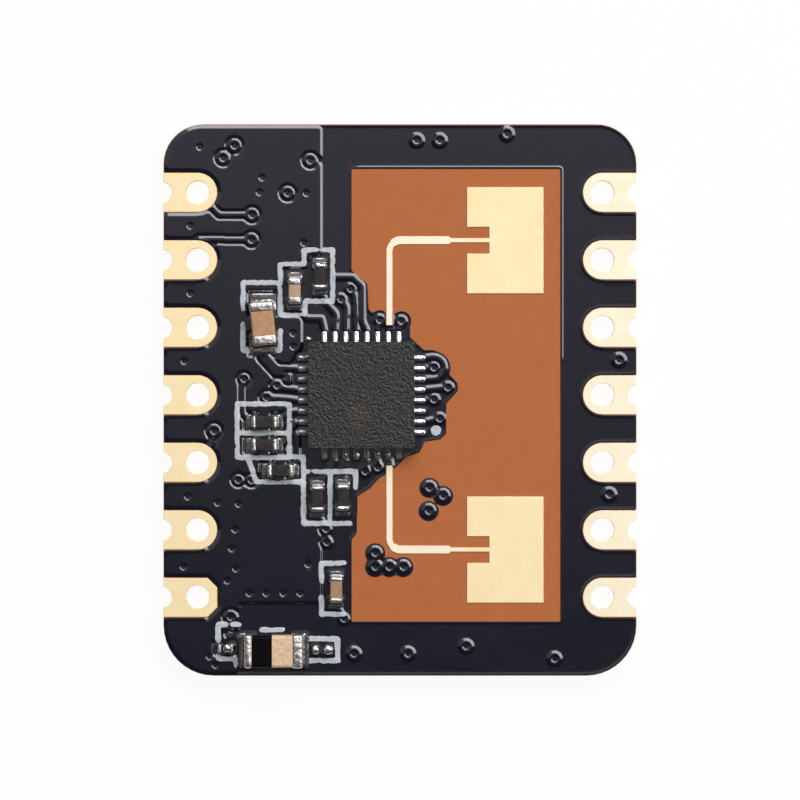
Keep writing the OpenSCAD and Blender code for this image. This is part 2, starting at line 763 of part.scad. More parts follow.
// Cross section of a chip part, with soft edges, grown by g on each side of the ceramic.
module chip_section(size, g) {
    w = size[1] / 2 - cap_t + g;
    h = size[2] - 2 * cap_t + g;
    r = min(size[1], size[2]) / 10 + g;
    steps = 3;
    polygon(concat(
        arc([w - r, h - r], r, 0, 90, steps), arc([r - w, h - r], r, 90, 180, steps),
        arc([r - w, r - g], r, 180, 270, steps), arc([w - r, r - g], r, 270, 360, steps)
    ));
}

module chip_prism(size, g, l) {
    translate([-l / 2, 0, cap_t]) rotate([90, 0, 90]) linear_extrude(l) chip_section(size, g);
}

module chip_body(part) {
    put(part) chip_prism(part[3], 0, part[3][0] - 2 * cap_t);
}

module chip_caps(part) {
    size = part[3];
    put(part) for (end = [-1, 1]) difference() {
        translate([end * (size[0] - cap_l(size)) / 2, 0, 0]) chip_prism(size, cap_t, cap_l(size));
        chip_prism(size, 0, size[0] - 2 * cap_t);
    }
}

module supply_capacitor_body() {
    color("#c0956a") chip_body(supply_capacitor);
}

module supply_capacitor_caps() {
    color("#e4e4e2") chip_caps(supply_capacitor);
}

module bulk_capacitor_body() {
    color("#ddba98") chip_body(bulk_capacitor);
}

module bulk_capacitor_caps() {
    color("#e4e4e2") chip_caps(bulk_capacitor);
}

// Printed black band round the ceramic, next to the left end cap.
module bulk_capacitor_band() {
    color("#161616") put(bulk_capacitor)
        translate([-bulk_l / 2 + cap_l(bulk_size) + band_w / 2, 0, 0]) difference() {
            chip_prism(bulk_size, band_t, band_w);
            chip_prism(bulk_size, 0, band_w + 2 * cut);
        }
}

// A fillet is as wide as its part, less what a skew part would carry off its lands.
function wedge_w(part) = part[3][1] - (part[3][0] + 2 * part[3][3]) * skew(part);

module solder_joints() {
    rise_share = 0.6;
    color("#e4e4e2") {
        for (part = chip_parts)
            put(part)
                for (turn = [0, 180])
                    rotate(turn) translate([part[3][0] / 2, 0, 0])
                        solder_wedge(part[3][3], part[3][2] * rise_share, wedge_w(part));
        at_points(test_lands) translate([0, 0, board_t]) solder_dome();
    }
}

module solder_dome() {
    dome_h = 0.1;
    r = test_land_d / 2;
    steps = 4;
    rotate_extrude($fn = 2 * via_fn) polygon(concat(
        [[0, 0]],
        [for (i = [0 : steps]) [r * cos(90 * i / steps), dome_h * sin(90 * i / steps)]]
    ));
}

base_laminate();
ground_plane();
antenna_laminate();
ground_pour();
signal_traces();
component_lands();
filled_vias();
transmit_antenna();
receive_antenna();
solder_mask_top();
solder_mask_bottom();
silkscreen_marks();
radar_chip_body();
radar_chip_leads();
radar_chip_paddle();
radar_chip_solder();
supply_capacitor_body();
supply_capacitor_caps();
bulk_capacitor_body();
bulk_capacitor_caps();
bulk_capacitor_band();
solder_joints();
for (i = [1 : pad_count]) {
    edge_pad(-1, i);
    edge_pad(1, i);
}
for (i = [1 : len(filter_capacitors)]) {
    color("#c79f83") chip_body(filter_capacitors[i - 1]);
    color("#e4e4e2") chip_caps(filter_capacitors[i - 1]);
}
for (i = [1 : len(bypass_chips)]) {
    color("#453f3f") chip_body(bypass_chips[i - 1]);
    color("#e4e4e2") chip_caps(bypass_chips[i - 1]);
}
for (i = [1 : len(trim_chips)]) {
    color("#453f3f") chip_body(trim_chips[i - 1]);
    color("#e4e4e2") chip_caps(trim_chips[i - 1]);
}
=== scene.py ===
"""Looks of a castellated millimetre wave radar module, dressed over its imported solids."""

from __future__ import annotations

import logging
import math
from collections.abc import Callable
from dataclasses import dataclass, field
from enum import Enum

import bmesh
import bpy
import numpy as np
from bpy.types import Material, Mesh, Node, NodeSocket, NodeTree, Object
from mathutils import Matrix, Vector


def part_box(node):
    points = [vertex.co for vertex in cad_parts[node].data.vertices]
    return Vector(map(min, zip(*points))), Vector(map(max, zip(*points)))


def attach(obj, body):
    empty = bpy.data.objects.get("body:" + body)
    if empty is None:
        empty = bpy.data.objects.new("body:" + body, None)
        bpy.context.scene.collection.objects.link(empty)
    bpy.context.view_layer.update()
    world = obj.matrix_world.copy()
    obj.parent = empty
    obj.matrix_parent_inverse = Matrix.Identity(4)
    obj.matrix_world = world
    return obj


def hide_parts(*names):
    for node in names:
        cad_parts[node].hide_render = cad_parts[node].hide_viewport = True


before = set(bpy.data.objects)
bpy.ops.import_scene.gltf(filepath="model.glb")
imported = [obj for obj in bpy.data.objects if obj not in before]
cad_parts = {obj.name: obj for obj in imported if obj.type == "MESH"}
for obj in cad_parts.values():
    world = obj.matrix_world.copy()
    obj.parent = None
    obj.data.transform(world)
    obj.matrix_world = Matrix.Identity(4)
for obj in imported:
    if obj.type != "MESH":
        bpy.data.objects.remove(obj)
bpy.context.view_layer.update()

MM = 0.001
WELD = 1e-4 * MM
FLAT_DEG = 1.0
SHARP_DEG = 40.0
BODY = "root"
LOG = logging.getLogger("radar_module")


def linear(hex_colour: str) -> tuple[float, float, float, float]:
    """Turns an sRGB hex colour to linear light.

    Args:
        hex_colour: colour as "#rrggbb".

    Returns:
        Linear red, green and blue, with full alpha.
    """
    parts = [int(hex_colour[i : i + 2], 16) / 255 for i in (1, 3, 5)]
    light = [v / 12.92 if v <= 0.04045 else ((v + 0.055) / 1.055) ** 2.4 for v in parts]
    return (light[0], light[1], light[2], 1.0)


def add_node(tree: NodeTree, kind: str, inputs: dict | None = None, **settings: object) -> Node:
    """Adds one shader node with its settings, values and links.

    Args:
        tree: node tree that gets the node.
        kind: the node's type name.
        inputs: socket name or index to a value, or to the output socket that feeds it.
        settings: attributes of the node.

    Returns:
        The new node.
    """
    node = tree.nodes.new(kind)
    for name, value in settings.items():
        setattr(node, name, value)
    for key, value in (inputs or {}).items():
        if isinstance(value, NodeSocket):
            tree.links.new(value, node.inputs[key])
        else:
            node.inputs[key].default_value = value
    return node


def corners_of(mesh: Mesh) -> np.ndarray:
    """A mesh's vertices, n by 3."""
    flat = np.empty(len(mesh.vertices) * 3)
    mesh.vertices.foreach_get("co", flat)
    return flat.reshape(-1, 3)


def per_metre(size_mm: float) -> float:
    """Texture scale that gives features of a size in millimetres on coordinates in metres."""
    return 1.0 / (size_mm * MM)


@dataclass(frozen=True)
class Finish:
    """A finish: what the surface is, its colours, gloss and grain.

    The pattern is two noises on Object coordinates: one blends the colour towards a second one,
    and one, finer, lifts the surface a little.
    """

    name: str
    colour: str
    second: str
    roughness: float
    metallic: float = 0.0
    ior: float = 1.5
    blotch_mm: float = 1.0
    blotch_detail: float = 4.0
    blotch_range: tuple[float, float] = (0.3, 0.7)
    grain_mm: float = 0.1
    grain_detail: float = 3.0
    grain_depth_mm: float = 0.002
    gloss_spread: float = 0.06

    def material(self) -> Material:
        """Builds the material once, and gives the same one after that."""
        made = bpy.data.materials.get(self.name)
        if made is not None:
            return made
        made = bpy.data.materials.new(self.name)
        made.use_nodes = True
        tree = made.node_tree
        tree.nodes.clear()
        coords = add_node(tree, "ShaderNodeTexCoord").outputs["Object"]
        shader = add_node(tree, "ShaderNodeBsdfPrincipled", {"Metallic": self.metallic, "IOR": self.ior})
        self.paint(tree, shader, coords)
        add_node(tree, "ShaderNodeOutputMaterial", {"Surface": shader.outputs[0]})
        return made

    def paint(self, tree: NodeTree, shader: Node, coords: NodeSocket) -> None:
        """Feeds colour, roughness and bump to the shader.

        Args:
            tree: the material's nodes.
            shader: the principled shader.
            coords: Object coordinates.
        """
        cloud = {"Vector": coords, "Scale": per_metre(self.blotch_mm), "Detail": self.blotch_detail}
        blotch = add_node(tree, "ShaderNodeTexNoise", cloud)
        low, high = self.blotch_range
        spread = {"Value": blotch.outputs["Fac"], "From Min": low, "From Max": high}
        tone = add_node(tree, "ShaderNodeMapRange", spread)
        half = self.gloss_spread / 2
        gloss_ends = {"To Min": self.roughness - half, "To Max": self.roughness + half}
        gloss = add_node(tree, "ShaderNodeMapRange", spread | gloss_ends)
        grit = {"Vector": coords, "Scale": per_metre(self.grain_mm), "Detail": self.grain_detail}
        grain = add_node(tree, "ShaderNodeTexNoise", grit)
        lift = {"Height": grain.outputs["Fac"], "Distance": self.grain_depth_mm * MM, "Strength": 1.0}
        bump = add_node(tree, "ShaderNodeBump", lift)
        colour = linear(self.colour)
        for share, over in [(tone.outputs[0], self.second), *self.tints(tree, coords)]:
            mix = add_node(tree, "ShaderNodeMix", {0: share, 6: colour, 7: linear(over)}, data_type="RGBA")
            colour = mix.outputs[2]
        tree.links.new(colour, shader.inputs["Base Color"])
        tree.links.new(gloss.outputs[0], shader.inputs["Roughness"])
        tree.links.new(bump.outputs[0], shader.inputs["Normal"])

    def tints(self, tree: NodeTree, coords: NodeSocket) -> list[tuple[NodeSocket, str]]:
        """Further colours over the first two, each with its share; the plain finish has none."""
        return []


@dataclass(frozen=True)
class MouldFinish(Finish):
    """Moulded epoxy with a faint brown bloom at one spot."""

    bloom: str = "#332a17"
    bloom_at_mm: tuple[float, float] = (-1.55, -0.55)
    bloom_r_mm: float = 1.1
    bloom_share: float = 0.85
    bloom_fray_mm: float = 0.5
    fray_reach: float = 1.6
    full_within: float = 0.8
    gone_beyond: float = 1.5

    def tints(self, tree: NodeTree, coords: NodeSocket) -> list[tuple[NodeSocket, str]]:
        """The bloom's colour, whose share falls with the distance from its centre.

        Args:
            tree: the material's nodes.
            coords: Object coordinates.

        Returns:
            The bloom's share and colour.
        """
        radius = self.bloom_r_mm * MM
        centre = (self.bloom_at_mm[0] * MM, self.bloom_at_mm[1] * MM, 0.0)
        flat = add_node(tree, "ShaderNodeVectorMath", {0: coords, 1: (1.0, 1.0, 0.0)}, operation="MULTIPLY")
        away = add_node(tree, "ShaderNodeVectorMath", {0: flat.outputs[0], 1: centre}, operation="DISTANCE")
        ragged = {"Vector": coords, "Scale": per_metre(self.bloom_fray_mm)}
        fray = add_node(tree, "ShaderNodeTexNoise", ragged)
        sums = {0: fray.outputs["Fac"], 1: self.fray_reach * radius, 2: away.outputs["Value"]}
        reach = add_node(tree, "ShaderNodeMath", sums, operation="MULTIPLY_ADD")
        share = add_node(
            tree,
            "ShaderNodeMapRange",
            {
                "Value": reach.outputs[0],
                "From Min": self.full_within * radius,
                "From Max": self.gone_beyond * radius,
                "To Min": self.bloom_share,
                "To Max": 0.0,
            },
            interpolation_type="SMOOTHSTEP",
        )
        return [(share.outputs[0], self.bloom)]


@dataclass(frozen=True)
class FeedHighlightFinish(Finish):
    """Plated gold with a painted highlight: the narrow feed lines, left of the patches, are painted paler for
    the bright reflections along their edges.
    """

    # pale: colour of the painted highlight along the feed lines.
    pale: str = "#fff4df"
    patches_from_mm: float = 2.5
    blend_mm: float = 0.1

    def tints(self, tree: NodeTree, coords: NodeSocket) -> list[tuple[NodeSocket, str]]:
        """The painted highlight's pale colour, whose share is full left of the patches.

        Args:
            tree: the material's nodes.
            coords: Object coordinates.

        Returns:
            The painted highlight's share and its pale colour.
        """
        axes = add_node(tree, "ShaderNodeSeparateXYZ", {0: coords})
        share = add_node(
            tree,
            "ShaderNodeMapRange",
            {
                "Value": axes.outputs["X"],
                "From Min": (self.patches_from_mm - self.blend_mm) * MM,
                "From Max": self.patches_from_mm * MM,
                "To Min": 1.0,
                "To Max": 0.0,
            },
        )
        return [(share.outputs[0], self.pale)]


PLATING = {
    "roughness": 0.7, "metallic": 1.0, "blotch_mm": 0.6, "grain_mm": 0.035, "grain_depth_mm": 0.0006,
}
FIRED = {"roughness": 0.6, "grain_mm": 0.05, "grain_depth_mm": 0.003}


class Look(Enum):
    """The module's finishes, each named for its real material; some also carry painted light or shade."""

    # Liquid photo-imaged epoxy: black with a soft gloss that shows every step of the copper below.
    SOLDER_MASK = Finish(
        "black_epoxy_solder_mask", "#09081a", "#0b0a1d", 0.12, ior=1.8, blotch_mm=1.6,
        grain_mm=0.22, grain_depth_mm=0.0012, gloss_spread=0.05,
    )
    # Bare glass-epoxy after etching: satin orange-brown with a faint cloudiness from the weave.
    BARE_LAMINATE = Finish(
        "bare_glass_epoxy", "#b96a3a", "#b46637", 0.6, ior=1.35, blotch_mm=0.5,
        grain_mm=0.09, grain_depth_mm=0.0015,
    )
    # Sawn edge of the core: duller and browner, with the cut fibres' grain.
    CUT_LAMINATE = Finish(
        "sawn_glass_epoxy", "#8c5b3a", "#6f4a33", 0.75, blotch_mm=0.15, grain_mm=0.05, grain_depth_mm=0.006,
    )
    # Immersion gold on etched copper: pale yellow metal with a fine satin grain, drawn coarser than real.
    GOLD = Finish("immersion_gold", "#fff0ca", "#feecc3", **PLATING)
    # The same gold on the right-hand row, painted a little paler: painted light, for the lamps at the upper
    # right that light this row more.
    PAINTED_LIT_GOLD = Finish("immersion_gold_painted_light", "#fff6e2", "#fef2da", **PLATING)
    # The same gold on the antennas, with a painted highlight: the narrow feed lines are painted paler than
    # the wide patches, for the reflections along their edges.
    ANTENNA_GOLD_PAINTED_HIGHLIGHT = FeedHighlightFinish("antenna_gold_painted_highlight", "#fff0ca", "#feecc3", **PLATING)
    # Etched copper below the mask.
    COPPER = Finish(
        "etched_copper", "#c98a5c", "#b97848", 0.4, metallic=1.0, blotch_mm=0.5, grain_depth_mm=0.0005,
    )
    # Reflowed solder: bright, with soft dents that break the reflections up.
    SOLDER = Finish(
        "reflowed_solder", "#ebebeb", "#dadada", 0.22, metallic=1.0, blotch_mm=0.15,
        grain_mm=0.13, grain_depth_mm=0.01, gloss_spread=0.1,
    )
    # Solder on the chip parts' lands: smooth, and painted darker as painted shade, for the solder that lies
    # in shadow round the chip ends.
    SHADED_SOLDER_PAINTED = Finish(
        "solder_painted_shade", "#adabaa", "#7f7c7b", 0.14, metallic=1.0, blotch_mm=0.15,
        grain_mm=0.13, grain_depth_mm=0.008, gloss_spread=0.06,
    )
    # Plated end caps: tin over nickel, a little grainy and dull; the grain is drawn coarse, so that it shows.
    TIN = Finish(
        "tin_plated_end_cap", "#e4e2df", "#b9b6b3", 0.34, metallic=1.0, blotch_mm=0.16,
        grain_mm=0.2, grain_depth_mm=0.05, gloss_spread=0.12,
    )
    # Fired ceramic of the supply capacitor: matt tan.
    SUPPLY_CERAMIC = Finish("tan_fired_ceramic", "#c0946a", "#ad825b", blotch_mm=0.25, **FIRED)
    # Fired ceramic of the upper filter capacitor: matt, a shade pinker.
    FILTER_CERAMIC = Finish("rose_tan_fired_ceramic", "#c39f88", "#b08a72", blotch_mm=0.2, **FIRED)
    # Fired ceramic of the lower filter capacitor: matt, browner than its fellow.
    LOWER_FILTER_CERAMIC = Finish("brown_tan_fired_ceramic", "#b18b70", "#9e785d", blotch_mm=0.2, **FIRED)
    # Fired ceramic of the bulk capacitor: pale tan with a coarse, wavy skin.
    BULK_CERAMIC = Finish(
        "pale_tan_fired_ceramic", "#edceae", "#d3ae8a", 0.6, blotch_mm=0.16,
        grain_mm=0.16, grain_depth_mm=0.03,
    )
    # Dark fired ceramic of the bypass and trim chips.
    DARK_CERAMIC = Finish(
        "dark_fired_ceramic", "#393335", "#231f20", 0.5, ior=1.3, blotch_mm=0.2,
        grain_mm=0.06, grain_depth_mm=0.003,
    )
    # Moulded epoxy with glass filler: black, rough as cast, sparkling where the grains face the light.
    MOULD = MouldFinish(
        "moulded_filled_epoxy", "#131110", "#24201f", 0.36, blotch_mm=0.11, blotch_detail=2.0,
        grain_mm=0.095, grain_depth_mm=0.05, gloss_spread=0.16,
    )
    # Printed ink: chalky pale grey.
    INK = Finish(
        "pale_legend_ink", "#c6cbd0", "#b3b9be", 0.75, blotch_mm=0.18, grain_mm=0.06, grain_depth_mm=0.004,
    )
    # Printed black band.
    BAND_INK = Finish(
        "black_band_ink", "#060606", "#0a0a0a", 0.5, ior=1.15, blotch_mm=0.3,
        grain_mm=0.08, grain_depth_mm=0.002,
    )


def top_of(node: str) -> float:
    """Highest z of a CAD node, in metres."""
    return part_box(node)[1].z


def nodes_with(*starts: str, ends: str = "") -> list[str]:
    """CAD nodes whose names start and end so, in order."""
    return sorted(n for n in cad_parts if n.startswith(starts) and n.endswith(ends))


def dress(node: str, look: Look) -> None:
    """Gives a CAD node its finish."""
    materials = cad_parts[node].data.materials
    materials.clear()
    materials.append(look.value.material())
    LOG.info("dressed %s", node)


def piece_from_mesh(mesh: Mesh, look: Look, stands_for: list[str]) -> Object:
    """Makes a finished piece of a mesh that is already in place.

    Args:
        mesh: the mesh, in the row frame.
        look: its finish.
        stands_for: CAD nodes that it replaces.

    Returns:
        The piece, riding on the module's body.
    """
    piece = bpy.data.objects.new(mesh.name, mesh)
    bpy.context.scene.collection.objects.link(piece)
    mesh.materials.clear()
    mesh.materials.append(look.value.material())
    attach(piece, BODY)
    if stands_for:
        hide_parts(*stands_for)
    LOG.info("built %s with %d faces", mesh.name, len(mesh.polygons))
    return piece


def mesh_from_arrays(name: str, points: np.ndarray, groups: list[np.ndarray]) -> Mesh:
    """Puts whole arrays into a mesh, smooth but for its sharp edges.

    Args:
        name: the mesh's name.
        points: vertices, n by 3, in metres.
        groups: arrays of faces, each with one number of corners.

    Returns:
        The mesh.
    """
    corners = np.concatenate([group.ravel() for group in groups])
    sizes = np.concatenate([np.full(len(group), group.shape[1]) for group in groups])
    mesh = bpy.data.meshes.new(name)
    mesh.vertices.add(len(points))
    mesh.vertices.foreach_set("co", points.ravel())
    mesh.loops.add(len(corners))
    mesh.loops.foreach_set("vertex_index", corners.astype(np.int32))
    mesh.polygons.add(len(sizes))
    mesh.polygons.foreach_set("loop_start", (np.cumsum(sizes) - sizes).astype(np.int32))
    mesh.update(calc_edges=True)
    mesh.shade_smooth()
    mesh.set_sharp_from_angle(angle=math.radians(SHARP_DEG))
    return mesh


def smooth_step(low: float, high: float, value: np.ndarray) -> np.ndarray:
    """Cubic ease from 0 at low to 1 at high."""
    t = np.clip((value - low) / (high - low), 0.0, 1.0)
    return t * t * (3.0 - 2.0 * t)


@dataclass
class PlanMap:
    """Plan view of the board on a fine square grid, for fields that follow the solids' outlines."""

    step: float = 0.02 * MM
    margin: float = 0.6 * MM
    least_share: float = 1e-4
    logit_slope: float = 1.65
    low: np.ndarray = field(init=False)
    shape: tuple[int, int] = field(init=False)

    def __post_init__(self) -> None:
        """Sets the grid over the board, with a margin all round."""
        low, high = (np.array(corner)[:2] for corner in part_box("base_laminate"))
        self.low = low - self.margin
        cells = np.ceil((high - low + 2 * self.margin) / self.step).astype(int)
        self.shape = (int(cells[1]), int(cells[0]))

    def cover(self, *nodes: str) -> np.ndarray:
        """Where the nodes' upward faces lie, seen from above.

        Each upward triangle's edges that no neighbour shares are crossed with the grid's rows; at each
        crossing the count of layers steps up or down, and its running sum along the row is the cover. An
        edge counts once, so no upward face of a node may lie over another, as an edge pad's do.

        Args:
            nodes: names of CAD nodes.

        Returns:
            1 where a node lies and 0 elsewhere, over the grid.
        """
        steps = np.zeros((self.shape[0], self.shape[1] + 1))
        for node in nodes:
            start, end = self.outline(node)
            self.count_crossings(steps, start, end)
        return (np.cumsum(steps, axis=1)[:, :-1] > 0.5).astype(float)

    def outline(self, node: str) -> tuple[np.ndarray, np.ndarray]:
        """Directed outline segments of a node's upward faces.

        Args:
            node: name of a CAD node.

        Returns:
            Start and end points, each n by 2.
        """
        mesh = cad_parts[node].data
        mesh.calc_loop_triangles()
        flat = corners_of(mesh)[:, :2]
        triangles = np.empty(len(mesh.loop_triangles) * 3, dtype=int)
        mesh.loop_triangles.foreach_get("vertices", triangles)
        spots, number = np.unique(np.round(flat / WELD).astype(np.int64), axis=0, return_inverse=True)
        tri = number.reshape(-1)[triangles.reshape(-1, 3)]
        a, b, c = (spots[tri[:, k]] for k in range(3))
        area = (b - a)[:, 0] * (c - a)[:, 1] - (b - a)[:, 1] * (c - a)[:, 0]
        tri = tri[area > 0]
        pairs = np.concatenate([tri[:, [0, 1]], tri[:, [1, 2]], tri[:, [2, 0]]])
        ordered = np.sort(pairs, axis=1)
        sign = np.where(pairs[:, 0] < pairs[:, 1], 1, -1)
        edges, where = np.unique(ordered, axis=0, return_inverse=True)
        balance = np.bincount(where.reshape(-1), weights=sign)
        kept = np.abs(balance) > 0.5
        edges, balance = edges[kept], balance[kept]
        points = spots * WELD
        turned = balance < 0
        start = np.where(turned[:, None], points[edges[:, 1]], points[edges[:, 0]])
        end = np.where(turned[:, None], points[edges[:, 0]], points[edges[:, 1]])
        return start, end

    def count_crossings(self, steps: np.ndarray, start: np.ndarray, end: np.ndarray) -> None:
        """Adds each segment's crossings with the rows to the running counts.

        Args:
            steps: the counts, changed in place.
            start: segment starts.
            end: segment ends.
        """
        rows = self.low[1] + (np.arange(self.shape[0]) + 0.5) * self.step
        below = np.minimum(start[:, 1], end[:, 1])
        above = np.maximum(start[:, 1], end[:, 1])
        crossed = (rows[None, :] >= below[:, None]) & (rows[None, :] < above[:, None])
        segment, row = np.nonzero(crossed)
        rise = end[segment, 1] - start[segment, 1]
        run = end[segment, 0] - start[segment, 0]
        x = start[segment, 0] + (rows[row] - start[segment, 1]) * run / rise
        column = np.clip(np.ceil((x - self.low[0]) / self.step - 0.5).astype(int), 0, self.shape[1])
        np.add.at(steps, (row, column), -np.sign(rise))

    def blur(self, image: np.ndarray, sigma: float) -> np.ndarray:
        """Gaussian blur by Fourier transform.

        Args:
            image: a field over the grid.
            sigma: standard deviation, in metres.

        Returns:
            The blurred field.
        """
        fy = np.fft.fftfreq(self.shape[0], self.step)[:, None]
        fx = np.fft.rfftfreq(self.shape[1], self.step)[None, :]
        damp = np.exp(-2.0 * (math.pi * sigma) ** 2 * (fx * fx + fy * fy))
        return np.fft.irfft2(np.fft.rfft2(image) * damp, s=self.shape)

    def inward(self, cover: np.ndarray, sigma: float) -> np.ndarray:
        """Distance inside an outline, about right within twice sigma of it.

        A straight edge blurs to an S-curve; the logarithm of cover over lack of cover undoes it.

        Args:
            cover: 1 inside and 0 outside.
            sigma: the blur that the distance is read from, in metres.

        Returns:
            Distance in metres, below zero outside.
        """
        soft = np.clip(self.blur(cover, sigma), self.least_share, 1 - self.least_share)
        return sigma * np.log(soft / (1 - soft)) / self.logit_slope

    def ramp(self, cover: np.ndarray, width: float, outward: float) -> np.ndarray:
        """Even slope from 0 to 1 across an outline.

        Args:
            cover: 1 inside and 0 outside.
            width: width of the slope in plan, in metres.
            outward: how far outside the outline the slope's middle lies.

        Returns:
            The slope's height, from 0 to 1.
        """
        reach = self.inward(cover, width / 2) + outward
        return self.blur(np.clip(0.5 + reach / width, 0.0, 1.0), width / 8)

    def rectangle(self, low: tuple[float, float], high: tuple[float, float]) -> np.ndarray:
        """Cover of an upright rectangle.

        Args:
            low: its lower left corner, in metres.
            high: its upper right corner, in metres.

        Returns:
            1 inside and 0 outside, over the grid.
        """
        x = self.low[0] + (np.arange(self.shape[1]) + 0.5) * self.step
        y = self.low[1] + (np.arange(self.shape[0]) + 0.5) * self.step
        return np.outer((y > low[1]) & (y < high[1]), (x > low[0]) & (x < high[0])).astype(float)

    def sample(self, image: np.ndarray, x: np.ndarray, y: np.ndarray) -> np.ndarray:
        """Field at any points, blended linearly between the grid's cell centres.

        Args:
            image: a field over the grid.
            x: points' x, in metres.
            y: points' y, in metres.

        Returns:
            The field's value at each point.
        """
        u = np.clip((x - self.low[0]) / self.step - 0.5, 0, self.shape[1] - 1.001)
        v = np.clip((y - self.low[1]) / self.step - 0.5, 0, self.shape[0] - 1.001)
        i, j = u.astype(int), v.astype(int)
        s, t = u - i, v - j
        near = image[j, i] * (1 - s) + image[j, i + 1] * s
        far = image[j + 1, i] * (1 - s) + image[j + 1, i + 1] * s
        return near * (1 - t) + far * t

    def noise(self, seed: int, sigma: float) -> np.ndarray:
        """Smooth random field with unit spread, the same for each run."""
        raw = np.random.default_rng(seed).standard_normal(self.shape)
        soft = self.blur(raw, sigma)
        return soft / soft.std()


@dataclass
class ReliefSheet:
    """A thin closed sheet whose outline and height come from fields over the plan."""

    plan: PlanMap
    edge: np.ndarray
    height: np.ndarray
    floor_z: float
    step: float
    block: int = 8
    flat: float = 0.0004 * MM
    pulls: int = 3
    near_share: float = 0.51
    least_slope: float = 1e-9
    least_side: float = 0.05

    def build(self, name: str, region: tuple[Vector, Vector], tiles: int = 1) -> list[Mesh]:
        """Meshes the sheet inside a box.

        A square grid covers the box. Points within half a cell of the outline, where the edge field is
        zero, move onto it along the field's slope. Cells with all corners inside give two triangles, and
        cells with one corner outside give one. Square blocks of cells that are flat and whole become one
        face each. An underside on the floor and a wall along every open edge close the sheet.

        Args:
            name: the mesh's name; tiles add a number to it.
            region: the box's two corners.
            tiles: number of pieces that the sheet is cut into along x.

        Returns:
            The closed meshes.
        """
        span = self.step * self.block
        first = np.floor((np.array(region[0])[:2] - self.plan.low) / span).astype(int) - 1
        last = np.ceil((np.array(region[1])[:2] - self.plan.low) / span).astype(int) + 1
        cuts = np.linspace(first[0], last[0], tiles + 1).round().astype(int)
        names = [f"{name}_{k + 1}" for k in range(tiles)] if tiles > 1 else [name]
        return [
            self.tile(names[k], (cuts[k], first[1]), (cuts[k + 1], last[1])) for k in range(tiles)
        ]

    def tile(self, name: str, first: tuple[int, int], last: tuple[int, int]) -> Mesh:
        """Meshes one piece of the sheet.

        Args:
            name: the mesh's name.
            first: the lowest block in x and y, counted from the plan's corner.
            last: the block past the highest one.

        Returns:
            The closed mesh.
        """
        size = self.block
        axes = (
            self.plan.low[k] + np.arange(first[k] * size, last[k] * size + 1) * self.step for k in (0, 1)
        )
        x, y = np.meshgrid(*axes)
        slope_y, slope_x = np.gradient(self.edge, self.plan.step)
        value = self.plan.sample(self.edge, x, y)
        near = np.zeros(x.shape, bool)
        for turn in range(self.pulls):
            gx, gy = self.plan.sample(slope_x, x, y), self.plan.sample(slope_y, x, y)
            steep = gx * gx + gy * gy + self.least_slope
            if turn == 0:
                near = np.abs(value) < self.near_share * self.step * np.sqrt(steep)
            x = np.where(near, x - value * gx / steep, x)
            y = np.where(near, y - value * gy / steep, y)
            value = self.plan.sample(self.edge, x, y)
        inside = near | (value > 0)
        z = self.plan.sample(self.height, x, y)
        upper = np.stack([x.ravel(), y.ravel(), z.ravel()], axis=1)
        lower = upper.copy()
        lower[:, 2] = self.floor_z
        whole = self.over_blocks(inside & ~near, np.all)
        level = self.over_blocks(z, np.ptp) < self.flat
        top = self.faces(upper, inside, whole & level)
        under = [group[:, ::-1] + len(upper) for group in self.faces(lower, inside, whole)]
        walls = self.walls(top, len(upper))
        groups = [group for group in top + under + [walls] if len(group)]
        used = np.zeros(2 * len(upper), bool)
        for group in groups:
            used[group.ravel()] = True
        number = np.cumsum(used) - 1
        points = np.concatenate([upper, lower])[used]
        return mesh_from_arrays(name, points, [number[group] for group in groups])

    def over_blocks(self, values: np.ndarray, gather: Callable[..., np.ndarray]) -> np.ndarray:
        """One value for each block, gathered over all its points, its far sides included."""
        size = self.block
        windows = np.lib.stride_tricks.sliding_window_view(values, (size + 1, size + 1))
        return gather(windows[::size, ::size], axis=(2, 3))

    def faces(self, points: np.ndarray, inside: np.ndarray, plain: np.ndarray) -> list[np.ndarray]:
        """Faces of one side of the sheet.

        Args:
            points: the grid's points, in rows.
            inside: which grid points count.
            plain: which blocks become one face.

        Returns:
            Arrays of faces, each with one number of corners.
        """
        size = self.block
        number = np.arange(inside.size).reshape(inside.shape)
        fine = ~np.repeat(np.repeat(plain, size, axis=0), size, axis=1)
        corner = [number[:-1, :-1], number[:-1, 1:], number[1:, 1:], number[1:, :-1]]
        held = np.stack([inside.ravel()[c] for c in corner])
        count = held.sum(axis=0)
        full = fine & (count == 4)
        found = [np.stack([corner[k][full] for k in order], axis=1) for order in ((0, 1, 2), (0, 2, 3))]
        for lost, order in enumerate(((1, 2, 3), (0, 2, 3), (0, 1, 3), (0, 1, 2))):
            part = fine & (count == 3) & ~held[lost]
            found.append(np.stack([corner[k][part] for k in order], axis=1))
        triangles = np.concatenate(found)
        a, b, c = (points[triangles[:, k], :2] for k in range(3))
        area = (b - a)[:, 0] * (c - a)[:, 1] - (b - a)[:, 1] * (c - a)[:, 0]
        return [triangles[area > (self.least_side * self.step) ** 2]] + self.plain_blocks(plain, number)

